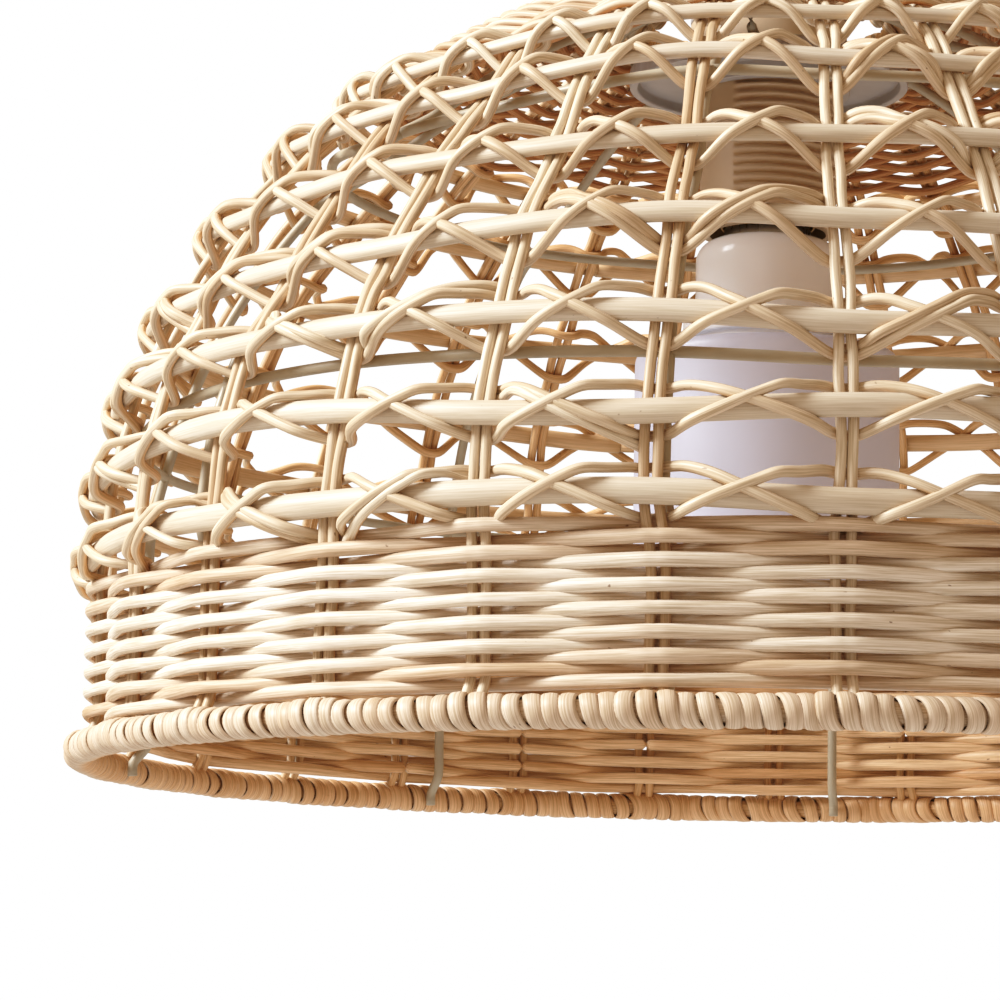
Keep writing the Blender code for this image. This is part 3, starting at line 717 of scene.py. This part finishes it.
def make_hoops():
    """Round canes outside the ribs, each closed by a butt joint behind a lashing at the back."""
    for index, name in enumerate(HOOPS):
        rng = np.random.default_rng(200 + index)
        way = HOOP_WAYS[index]
        radius = SURFACE.radius_at(way)
        joint = math.pi + rng.uniform(-0.5, 0.5)
        gap = 0.0008                # half the opening of the joint, as a turn
        per_metre = 1400            # points along the hoop
        turns = np.linspace(joint + gap, joint + FULL_TURN - gap, int(radius * per_metre))
        along = turns * radius
        thick = HOOP_RADII[index] * (1 + wander(210 + index, 0.02, along, 0.25))
        wobble = wander(220 + index, 0.45 * MM, along, 0.35)
        depth = HOOP_MIDDLES[index] + wander(230 + index, 0.08 * MM, along)
        path = SURFACE.place(way + wobble, turns, depth)
        weave = Weave(name + "_cane")
        weave.strand(path, thick, 14, rng.uniform(0.15, 0.45), flat=HOOP_FLAT,
                     facing=direction(*SURFACE.normal(way), turns))
        weave.build(PALE_CANE, "root", "cane_pale", name)


def gap_points(index, rising, width, above, below, cross):
    """Places of a lashing from behind one rib to behind the next, as (along, up, depth).

    It crosses the front of the hoop, upwards or downwards, straight for an eye that looks up by the
    tilt. The rising one lies on the falling one.
    """
    hoop = HOOP_RADII[index]
    middle = HOOP_MIDDLES[index]
    tilt = 0.15 + 0.023 * index
    overlap = LASHING_OVERLAP[index]
    reach = hoop + LASHING
    behind = float(rib_depth(HOOP_WAYS[index])) + RIB_CANE + LASHING + 0.05 * MM
    roomy = min(max((width / MM - 25) / 15, 0), 1)
    start = (2.7 + 0.4 * roomy) * MM
    leave = (3.9 + 0.7 * roomy) * MM

    def on_hoop(degrees, proud):
        angle = math.radians(degrees)
        thick = HOOP_FLAT * hoop + (1 + proud) * LASHING
        return reach * math.sin(angle), middle - thick * math.cos(angle)

    if rising:
        slope = [(-below, behind - 0.5 * MM)]
        slope += [on_hoop(*key) for key in ((-68, 0), (-40, 0), (-10, 0.1), (20, 0.6), (46, 1.2))]
        slope.append((reach, middle - 0.62 * hoop - 1.6 * LASHING))
        begin, end = start, cross + overlap * width
    else:
        slope = [on_hoop(*key) for key in ((62, 0), (38, 0), (10, 0), (-18, 0), (-46, 0), (-70, 0))]
        slope.append((-below, behind - 0.5 * MM))
        begin, end = cross - (overlap + 0.01) * width, width - start
    sight = [up - tilt * depth for up, depth in slope]
    shares = [(height - sight[0]) / (sight[-1] - sight[0]) for height in sight]
    run = [(begin + (end - begin) * share, up, depth)
           for share, (up, depth) in zip(shares, slope)]
    if rising:
        return [(0.0, -below, behind)] + run + [
            (0.5 * (end + 0.84 * width), max(1.14 * reach, 0.78 * above), middle - 0.3 * MM),
            (0.84 * width, max(1.26 * reach, 0.93 * above), middle + 2.6 * MM),
            (width - leave, above + 0.1 * MM, behind - 1.6 * MM),
            (width - start, above, behind - 0.5 * MM)]
    return [
        (0.0, above, behind),
        (start, above, behind - 0.5 * MM),
        (leave, above, behind - 1.6 * MM),
        (0.17 * width, max(1.28 * reach, 0.95 * above), middle + 2.6 * MM),
        (0.5 * (begin + 0.17 * width), max(1.14 * reach, 0.80 * above), middle + 0.4 * MM)] + run


def lashing_path(index, gaps, first_rib, first_rising, rng, beside=0.0):
    """The path of a lashing over a number of gaps, in (way, turn, depth, how far it is in front).

    beside moves it to lie next to the plain lashing, over it or, if negative, under it.
    """
    radius, _ = SURFACE.plane(HOOP_WAYS[index], HOOP_MIDDLES[index])
    least = HOOP_RADII[index] + LASHING + 0.2 * MM
    front = HOOP_MIDDLES[index] + MM
    rows = []
    for step in range(gaps):
        start = rib_turn(first_rib + step)
        rising = (step % 2 == 0) == first_rising
        above = max(LASHING_ABOVE[index] + rng.uniform(-0.3, 0.3) * MM + beside, least)
        below = max(LASHING_BELOW[index] + rng.uniform(-0.5, 0.7) * MM - beside, least)
        width = (rib_turn(first_rib + step + 1) - start) * radius
        cross = (0.5 + rng.uniform(-0.02, 0.02)) * width + beside * (-1.15 if rising else 1.15)
        rows += [(HOOP_WAYS[index] + up, start + along / radius, depth, float(depth < front))
                 for along, up, depth in gap_points(index, rising, width, above, below, cross)]
    return np.array(rows)


def lashing_strand(weave, index, rows, size, tone):
    """A strand along the rows, with its bends in front of the hoop eased."""
    step = 1.4 * MM
    path = smooth_path(np.column_stack([SURFACE.place(*rows.T[:3]), rows[:, 3] * 1e-4]), step)
    share = np.clip(path[:, 3:] * 1e4, 0, 1)
    path = path[:, :3]
    for _ in range(4):
        eased = path.copy()
        eased[1:-1] = 0.25 * path[:-2] + 0.5 * path[1:-1] + 0.25 * path[2:]
        path = path + (eased - path) * (0.5 + 0.5 * share)
    swell = wander(330 + index, 0.05, np.arange(len(path)) * step, 0.1)
    weave.strand(path, LASHING * size * (1 + swell), 8, tone)


def make_lashings():
    """Per hoop, one thin cane that goes round twice and ties the hoop to every rib."""
    for index, name in enumerate(HOOPS):
        rng = np.random.default_rng(300 + index)
        weave = Weave(name.replace("hoop", "lashing"))
        start = int(rng.integers(8, 18))
        rows = lashing_path(index, 2 * len(RIBS), start, index % 2 == 0, rng)
        lashing_strand(weave, index, rows, 1.0, rng.uniform(0.3, 0.7))
        doubles = [(int(rng.integers(3, len(RIBS) - 4)), int(rng.integers(1, 3)),
                    bool(rng.integers(0, 2))) for _ in range(4)]
        beside = (1 if index >= 2 else -1) * 1.9 * LASHING
        for begin, gaps, rising in doubles + list(DOUBLED.get(index, ())):
            rows = lashing_path(index, gaps, begin, rising, rng, beside)
            lashing_strand(weave, index, rows, rng.uniform(0.9, 1.0), rng.uniform(0.2, 0.8))
        weave.build(WARM_CANE, "root", "cane")


def woven_laps(laps, low, high, rng):
    """Plain weave as one long cane that climbs from the lap below to the next, cut behind ribs.

    The ribs are odd in number, so each lap passes in front of the ribs that the lap below passes
    behind. Returns, lap by lap, the ribs it passes as (way, turn, whether it is in front).
    """
    count = len(RIBS)
    cuts = [-7]                     # the ribs behind which a lap ends and the next begins
    for lap in range(1, laps):
        cuts.append(count * lap + 2 * int(rng.integers(-2, 2)) + (0 if lap % 2 else 1))
    cuts.append(count * laps + (0 if laps % 2 else 1))
    pitch = (high - low) / laps
    result = []
    for lap in range(laps):
        rows = []
        for number in range(cuts[lap], cuts[lap + 1] + 1):
            climb = 0.2 + max(number, 0) / count * (laps - 0.4) / laps
            rows.append((low + climb * pitch, rib_turn(number - count * lap), number % 2 == 0))
        result.append(rows)
    return result


def make_band():
    """Plain weave over the rim, one piece for each lap."""
    swing = RIB_CANE + BAND_FLAT * BAND_STRAND
    lead = 3.2 * MM / 0.192         # how far each side of a rib the strand lies flat on it
    step = 2.0 * MM
    laps = woven_laps(BAND_ROWS, BAND_LOW, BAND_HIGH, np.random.default_rng(399))
    for lap, passes in enumerate(laps):
        rng = np.random.default_rng(400 + lap)
        rows = []
        for way, turn, front in passes:
            middle = float(rib_depth(way))
            jitter = rng.uniform(-0.2, 0.2) * MM
            for offset in (-lead, 0.0, lead):
                rows.append((way + jitter, turn + offset, middle + (-swing if front else swing)))
            rows.append((way + rng.uniform(-0.2, 0.2) * MM, turn + RIB_STEP / 2,
                         middle + rng.uniform(-0.3, 0.3) * MM))
        path = smooth_path(SURFACE.place(*np.array(rows[1:-2]).T), step)
        swell = wander(430 + lap, 0.05, np.arange(len(path)) * step, 0.15)
        weave = Weave(f"band_row_{lap + 1:02d}")
        weave.strand(path, BAND_STRAND * (1 + swell), 10, rng.uniform(0.15, 0.75), BAND_FLAT,
                     path * [1, 1, 0], taper=0.001)
        replaced = ("band_weave",) if lap == 0 else ()
        weave.build(BAND_CANE, "root", "cane", *replaced)


def make_crown():
    """The closed rows round the crown, woven like the band, and the ring that the ribs hook over."""
    low = SURFACE.way_at_radius(CROWN_LOW)
    high = SURFACE.way_at_radius(CROWN_HIGH)
    swing = RIB_CANE + CROWN_STRAND
    weave = Weave("crown_rows")
    rng = np.random.default_rng(500)
    for passes in woven_laps(int((high - low) / (2.05 * CROWN_STRAND)), low, high, rng):
        rows = []
        for way, turn, front in passes:
            middle = float(rib_depth(way))
            rows.append((way, turn, middle + (-swing if front else swing)))
            rows.append((way, turn + RIB_STEP / 2, middle))
        path = smooth_path(SURFACE.place(*np.array(rows[:-1]).T), 1.8 * MM)
        weave.strand(path, CROWN_STRAND, 8, rng.uniform(0.2, 0.9), taper=0.001)
    weave.build(CROWN_CANE, "root", "cane_warm", "crown_weave")
    turns = np.linspace(0.001, FULL_TURN - 0.001, 180)
    ring = Weave("crown_ring_cane")
    ring.strand(around(RING_RADIUS, RING_HEIGHT, turns), CROWN_RING, 12, 0.5)
    ring.build(WARM_CANE, "root", "cane", "crown_ring")


def make_rim():
    """A flat cane wound round the rim, thicker where it takes in the ends of the ribs."""
    wrap_width = 4.6 * MM
    wraps = int(round(FULL_TURN * RIM_CENTRE / (wrap_width + 0.05 * MM)))
    steps_each = 22
    angle = np.linspace(0, FULL_TURN * wraps, wraps * steps_each)
    turn = angle / wraps + math.pi
    nearest = turn[:, None] - np.array(RIB_TURNS)
    nearest = np.abs((nearest + math.pi) % FULL_TURN - math.pi).min(axis=1)
    swell = 1 - smooth_step(nearest * RIM_CENTRE, 3 * MM, 9 * MM)
    top = np.clip(np.cos(angle - math.radians(60)), 0, 1)
    noise = wander(600, 0.10 * MM, turn * RIM_CENTRE, 0.05)
    tube = 3.75 * MM + swell * top * 0.9 * MM + noise
    skew = wander(601, 0.006, turn * RIM_CENTRE, 0.06)
    out, up = np.sin(angle), np.cos(angle)
    real_turn = turn + skew * out
    weave = Weave("rim_wrapping")
    weave.strand(around(RIM_CENTRE + tube * out, tube * up, real_turn), wrap_width / 2, 8, 0.60,
                 flat=0.30, facing=direction(out, up, real_turn))
    weave.build(BAND_CANE, "root", "cane", "rim_binding")
    turns = np.linspace(0.0005, FULL_TURN - 0.0005, 260)
    core = Weave("rim_core_cane")
    core.strand(around(RIM_CENTRE, 0.0, turns), RIM_CORE, 10, 0.6)
    core.build(WARM_CANE, "root", "cane", "rim_core")


# ---- the wire frame
def make_wire_frame():
    """Round painted wires along the CAD frame's lines, and its fitter plate."""
    points = node_points("wire_frame")
    outer = np.hypot(points[:, 0], points[:, 1]) > 0.120
    feet = points[outer & (points[:, 2] < RIM_Z + 4 * MM)]
    uprights = 8
    turns = np.arctan2(feet[:, 0], -feet[:, 1]) * uprights
    first = np.angle(np.exp(1j * turns).mean()) / uprights - math.radians(0.6)
    step = FULL_TURN / uprights
    wire = 1.5 * MM
    ways = np.linspace(0.054, SURFACE.way_at_radius(0.048), 60)
    depth = 11.4 * MM + 4.2 * MM * smooth_step(ways, HOOP_WAYS[5] - 2 * MM, HOOP_WAYS[6] + 2 * MM)
    in_band = 0.18405               # the uprights' distance from the axis inside the band
    foot = [(0.1888, -0.0025), (0.1887, 0.0012), (0.1862, 0.0042), (in_band, 0.0075),
            (in_band, 0.016), (in_band, 0.030), (in_band, 0.044)]
    plate = 0.2085                  # height of the fitter plate
    bent, bent_by = math.radians(-142.1), math.radians(2.2)     # one upright stands off its place
    weave = Weave("wire_frame_wires")
    for number in range(uprights):
        turn = first + number * step
        if abs(math.remainder(turn - bent, FULL_TURN)) < math.radians(5):
            turn -= bent_by
        path = np.concatenate([[around(r, z, turn) for r, z in foot],
                               SURFACE.place(ways, np.full(ways.size, turn), depth)])
        if number % 2 == 0:
            spoke = [around(0.040, plate + 0.2 * MM, turn), around(0.028, plate, turn)]
            path = np.concatenate([path, spoke])
        weave.strand(smooth_path(path, 3 * MM), wire, 12, 0.5)
    turns = first + 4 * step + np.linspace(0.0, FULL_TURN, 241)
    for way in (SURFACE.way_at_height(0.0900), SURFACE.way_at_height(0.1830), ways[-1]):
        weave.strand(SURFACE.place(way, turns, np.interp(way, ways, depth)), wire, 12, 0.5)
    weave.build(WIRE_PAINT, "root", "wire_paint", "wire_frame")
    low, high = plate - 0.9 * MM, plate + 0.9 * MM
    outline = rounded([(0.0206, low), (0.030, low), (0.030, high), (0.0206, high)], 0.5 * MM)
    lathe("fitter_plate", outline, WIRE_PAINT, "root", "wire_paint")


# ---- the lampholder and the bulb
def grooves(angle, count, power):
    """A share that is 1 in the middle of each of a number of upright grooves."""
    return (0.5 + 0.5 * np.cos(count * angle)) ** power


def make_lampholder():
    """The threaded skirt, and the cap and the gland above it."""
    skirt_low, skirt_high = node_heights("holder_body")
    radius = 0.0200
    shoulder = 0.2097
    bore = 0.0170
    rows = [(radius, z) for z in np.arange(skirt_low + 0.0008, shoulder - 0.0015, 0.00035)]
    outline = [(bore, skirt_low), (radius - 0.0006, skirt_low)] + rows
    outline += [(radius, shoulder), (0.0230, shoulder), (0.0230, skirt_high), (bore, skirt_high)]

    def thread(angle, turned_radius, height):
        """A rounded thread, left out low on the skirt and on two smooth sectors."""
        pitch = 2.75 * MM
        ridge = 0.5 + 0.5 * np.sin(FULL_TURN * height / pitch + angle)
        above = smooth_step(height, skirt_low + 0.0065, skirt_low + 0.0075)
        sector = smooth_step(np.abs((angle + 2.583) % math.pi - math.pi / 2), 0.50, 0.56)
        on_skirt = (turned_radius > radius - 0.2 * MM) & (height < shoulder - 0.001)
        return np.where(on_skirt, -1.35 * MM * ridge ** 1.3 * above * sector, 0.0)

    # the skirt takes the warm brown copy of the holder plastic: painted shade
    lathe("lampholder_skirt", outline, SHADED_SKIRT, "root", "holder_plastic", "holder_body", turns=144,
          shape=thread)

    cap_low, cap_high = node_heights("holder_cap")
    cap = rounded([(0.0210, cap_low), (0.0232, cap_low), (0.0226, cap_low + 0.012),
                   (0.0190, cap_high - 0.005), (0.0125, cap_high), (0.0053, cap_high),
                   (0.0053, cap_high - 0.0022), (0.0115, cap_high - 0.0022),
                   (0.0170, cap_high - 0.0068), (0.0204, cap_low + 0.012)], 2.5 * MM, 5)

    def grip(angle, turned_radius, height):
        """Shallow upright grooves round the cap's side."""
        side = smooth_step(height, cap_low + 0.0015, cap_low + 0.003)
        side = side * (1 - smooth_step(height, cap_low + 0.010, cap_low + 0.0125))
        outside = turned_radius > 0.0216
        return np.where(outside, -0.35 * MM * side * grooves(angle, 36, 3), 0.0)

    lathe("lampholder_cap", cap, HOLDER, "root", "holder_plastic", "holder_cap", turns=216,
          shape=grip)

    gland_low, gland_high = node_heights("cord_gland")
    gland = rounded([(0.0036, gland_low), (0.0050, gland_low), (0.0050, cap_high + 0.0003),
                     (0.0085, cap_high + 0.0003), (0.0078, gland_high - 0.003),
                     (0.0062, gland_high), (0.0036, gland_high)], 0.8 * MM)

    def flutes(angle, turned_radius, height):
        return np.where(turned_radius > 0.0066, -0.45 * MM * grooves(angle, 12, 2), 0.0)

    lathe("cord_grip_gland", gland, HOLDER, "root", "holder_plastic", "cord_gland", turns=144,
          shape=flutes)


def make_shade_ring():
    """The threaded collar that clamps the shade, and its disc."""
    low, high = node_heights("shade_ring")
    bore = 0.0204
    lip_low = low + 0.0020
    disc = high - 0.0025
    edge = 0.0410
    outline = rounded([(bore, low), (0.0240, low), (0.0240, disc), (edge - 0.0025, disc),
                       (edge - 0.0025, lip_low), (edge, lip_low), (edge, high - 0.0004),
                       (edge - 0.0012, high), (bore, high)], 0.6 * MM)

    def knurl(angle, turned_radius, height):
        """Fine finger grips round the ring's edge."""
        outside = turned_radius > edge - 0.15 * MM
        return np.where(outside, -0.25 * MM * grooves(angle, 60, 4), 0.0)

    lathe("shade_ring_disc", outline, HOLDER, "ring", "holder_plastic", "shade_ring", turns=360,
          shape=knurl)


def make_bulb():
    """The neck, the collar, the milky cylinder and the screw cap."""
    neck_low, neck_high = node_heights("bulb_neck")
    seat = 0.1545
    neck_radius = 0.0210
    spigot = 0.0120
    shoulder = 0.0065
    outline = [(neck_radius, neck_low)]
    outline += [(neck_radius, z) for z in np.linspace(neck_low + 0.002, seat - 0.008, 6)]
    for turn in np.radians(range(0, 91, 10)):
        outline.append((neck_radius - shoulder + shoulder * math.cos(turn),
                        seat - shoulder + shoulder * math.sin(turn)))
    outline += [(spigot, seat), (spigot, neck_high), (spigot - 0.0015, neck_high),
                (spigot - 0.0015, seat - 0.0025), (neck_radius - 0.0085, seat - 0.0030),
                (neck_radius - 0.0022, seat - 0.0085), (neck_radius - 0.0022, neck_low)]
    lathe("bulb_neck_shell", outline, NECK, "bulb", "bulb_plastic", "bulb_neck")

    bottom, top = node_heights("bulb_diffuser")
    collar_low, collar_high = node_heights("bulb_collar")
    collar = rounded([(0.0130, collar_low), (0.0224, collar_low), (0.0224, top + 0.004),
                      (0.0245, top + 0.004), (0.0245, collar_high), (0.0130, collar_high)], 0.7 * MM)
    lathe("bulb_collar_ring", collar, NECK, "bulb", "bulb_plastic", "bulb_collar")

    edge, skin, opening = 0.0385, 0.0012, 0.0230
    shell = rounded([(opening, top), (edge, top), (edge, bottom), (0, bottom), (0, bottom + skin),
                     (edge - skin, bottom + skin), (edge - skin, top - skin), (opening, top - skin)],
                    4 * MM, 8)
    lathe("bulb_diffuser_shell", shell, DIFFUSER, "bulb", "diffuser", "bulb_diffuser")

    cap_low, cap_high = node_heights("bulb_cap")
    outer = 0.0129
    screw = [(outer - 0.0022, cap_low), (outer - 0.0002, cap_low)]
    screw += [(outer - 0.0002, z) for z in np.arange(cap_low + 0.002, cap_high - 0.0015, 0.0003)]
    screw += [(outer - 0.0014, cap_high), (outer - 0.0022, cap_high)]

    def screw_thread(angle, turned_radius, height):
        """The rolled thread of a standard screw cap."""
        ridge = np.sin(FULL_TURN * height / (3.63 * MM) + angle)
        inside = smooth_step(height, cap_low + 0.002, cap_low + 0.004)
        return np.where(turned_radius > outer - 0.0010, 0.45 * MM * (ridge - 1.0) * inside, 0.0)

    lathe("bulb_screw_cap", screw, NICKEL, "bulb", "nickel", "bulb_cap", shape=screw_thread)


def finish_inner_nodes():
    """Materials for the small CAD pieces that stay as they are."""
    looks = {
        "contact_carrier": INSERT, "screw_shell": BRASS, "centre_contact": BRASS,
        "shell_contact": BRASS, "terminal_screw_1": NICKEL, "terminal_screw_2": NICKEL,
        "ring_washer": BLACK, "bulb_tip": NICKEL, "bulb_insulator": BLACK,
        "led_board": ALUMINIUM, "driver_board": BOARD,
    }
    for name, shader in looks.items():
        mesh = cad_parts[name].data
        mesh.materials.clear()
        mesh.materials.append(shader)


# ---- stage, light and camera
def make_stage():
    """A pale floor well below the lamp."""
    size = 40.0
    height = -1.60
    corners = [(x * size, y * size, height) for x, y in ((-1, -1), (1, -1), (1, 1), (-1, 1))]
    mesh = mesh_from_arrays("floor", corners, np.array([[0, 1, 2, 3]]))
    nodes = Nodes("floor_paint")
    clouds = nodes.noise(nodes.place(), 1.5, 3.0)
    colour = nodes.ramp(clouds, (0.3, (0.90, 0.92, 0.94)), (0.7, (0.93, 0.95, 0.97)))
    nodes.feed(nodes.shader, {"Base Color": colour, "Roughness": 0.8})
    mesh.materials.append(nodes.material)
    floor = new_object("floor", mesh)


def make_world():
    """White all round to the eye, and a soft light that is brighter from above and the left."""
    world = bpy.data.worlds.new("studio")
    bpy.context.scene.world = world
    nodes = Nodes(world)
    nodes.tree.nodes.clear()
    view = nodes.add("ShaderNodeTexCoord").outputs["Generated"]
    from_left = Vector((-0.45, -0.55, 0.55)).normalized()
    lean = nodes.vector("DOT_PRODUCT", view, from_left)["Value"]
    strength = nodes.span(lean, -1.0, 1.0, 0.30, 0.62)
    light = nodes.add("ShaderNodeBackground", {"Color": (1.0, 0.78, 0.59), "Strength": strength})
    white = nodes.add("ShaderNodeBackground", {"Color": (1.0, 1.0, 1.0), "Strength": 1.0})
    seen = nodes.add("ShaderNodeLightPath").outputs["Is Camera Ray"]
    choice = nodes.add("ShaderNodeMixShader", {0: seen, 1: light.outputs[0], 2: white.outputs[0]})
    nodes.add("ShaderNodeOutputWorld", {"Surface": choice.outputs[0]})


def make_light(name, place, target, size, power, colour):
    data = bpy.data.lights.new(name, "AREA")
    data.shape = "DISK"
    data.size = size
    data.energy = power
    data.color = colour
    lamp = new_object(name, data)
    lamp.location = place
    lamp.rotation_euler = (Vector(target) - Vector(place)).to_track_quat("-Z", "Y").to_euler()


def make_camera():
    """Just under the rim and a little right of the lamp's axis, turned to its left half."""
    distance, below = 1.0395, 0.0722
    yaw, pitch, roll = (math.radians(angle) for angle in (4.26, 8.18, 0.96))
    data = bpy.data.cameras.new("camera")
    data.sensor_width = 36.0
    data.lens = 129.9
    data.clip_start = 0.01
    camera = new_object("camera", data)
    turn = (Matrix.Rotation(yaw, 4, "Z") @ Matrix.Rotation(math.pi / 2 + pitch, 4, "X")
            @ Matrix.Rotation(roll, 4, "Z"))
    camera.matrix_world = Matrix.Translation((0, -distance, RIM_Z - below)) @ turn
    bpy.context.scene.camera = camera


def make_tone_curve():
    """A plain view with a little more contrast, as a product picture is finished."""
    view = bpy.context.scene.view_settings
    view.view_transform = "Standard"
    view.use_curve_mapping = True
    curve = view.curve_mapping.curves[3]
    keys = ((62, 50), (90, 84), (123, 124), (155, 162), (190, 202), (220, 231), (240, 247))
    for shown, wanted in keys:
        curve.points.new(to_linear(shown), to_linear(wanted))
    view.curve_mapping.update()


def to_linear(shown):
    """The light of a shown value between 0 and 255."""
    return ((shown / 255 + 0.055) / 1.055) ** 2.4


make_camera()
make_world()
make_light("key", (-1.80, -0.60, 1.05), (0, 0, -0.15), 0.9, 78, (0.88, 0.95, 1.0))
make_stage()
make_ribs()
make_hoops()
make_lashings()
make_band()
make_crown()
make_rim()
make_wire_frame()
make_lampholder()
make_shade_ring()
make_bulb()
finish_inner_nodes()
make_tone_curve()
